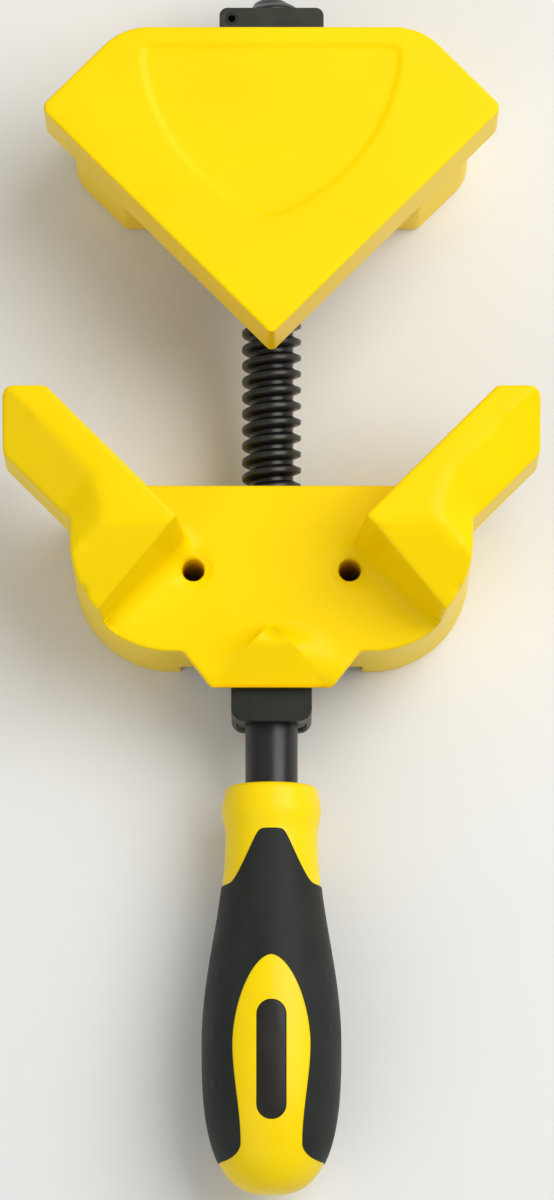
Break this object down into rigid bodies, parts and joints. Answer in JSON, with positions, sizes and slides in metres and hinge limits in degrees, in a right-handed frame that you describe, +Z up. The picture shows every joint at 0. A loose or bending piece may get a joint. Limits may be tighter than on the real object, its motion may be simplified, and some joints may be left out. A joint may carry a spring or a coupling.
{
  "type": "corner clamp",
  "caption": "Bench-mounted right-angle corner clamp: cast frame with two fences, and a swivelling wedge jaw drawn in by a screw spindle with a two-part grip handle.",
  "frame": {"origin": "midway between the two bench holes, on the plane of the bench", "axes": "+Y along the spindle from the handle towards the moving jaw, +Z up from the bench, +X to the right seen from the handle"},
  "size_m": [0.1296, 0.296, 0.061],
  "materials": {
    "yellow_paint": "glossy yellow powder coat on die-cast aluminium",
    "bright_steel": "zinc-plated steel",
    "black_steel": "black-oxide steel, lightly oiled",
    "dark_zinc": "dark phosphated casting",
    "bronze": "plain turned bronze",
    "yellow_plastic": "smooth moulded plastic",
    "soft_grip": "matte soft overmould",
    "dark_inlay": "satin moulded inlay"
  },
  "bodies": {
    "frame": {"frame_casting": "yellow_paint", "block_keeper_plate": "bright_steel", "block_keeper_screws": "bright_steel"},
    "block": {"thrust_block": "black_steel", "block_swivel_pins": "bright_steel", "journal_bush": "bronze", "front_thrust_washer": "bright_steel", "rear_thrust_washer": "bright_steel"},
    "spindle": {"spindle": "black_steel", "thrust_collar": "bright_steel", "collar_pin": "bright_steel", "handle_core": "yellow_plastic", "handle_grip": "soft_grip", "handle_inlay": "dark_inlay"},
    "carrier": {"nut_carrier": "dark_zinc", "carrier_swivel_pins": "bright_steel", "spindle_nut": "bronze", "nut_lock_pin": "bright_steel"},
    "jaw": {"jaw_casting": "yellow_paint", "jaw_keeper_plate": "bright_steel", "jaw_keeper_screws": "bright_steel"}
  },
  "joints": [
    {"name": "spindle_swing", "type": "hinge", "parent": "frame", "child": "block", "pos_m": [0, -0.022, 0.02], "axis": [0, 0, 1], "range_deg": [-1.5, 1.5]},
    {"name": "spindle_spin", "type": "hinge", "parent": "block", "child": "spindle", "pos_m": [0, 0, 0.02], "axis": [0, 1, 0], "range_deg": [0, 5400]},
    {"name": "jaw_feed", "type": "slide", "parent": "block", "child": "carrier", "axis": [0, -1, 0], "range_m": [0, 0.06]},
    {"name": "jaw_swivel", "type": "hinge", "parent": "carrier", "child": "jaw", "pos_m": [0, 0.117, 0.02], "axis": [0, 0, 1], "range_deg": [-2.5, 2.5]}
  ],
  "couplings": [
    {"joint": "spindle_spin", "follows": "jaw_feed", "rad_per_m": 1570.8}
  ]
}
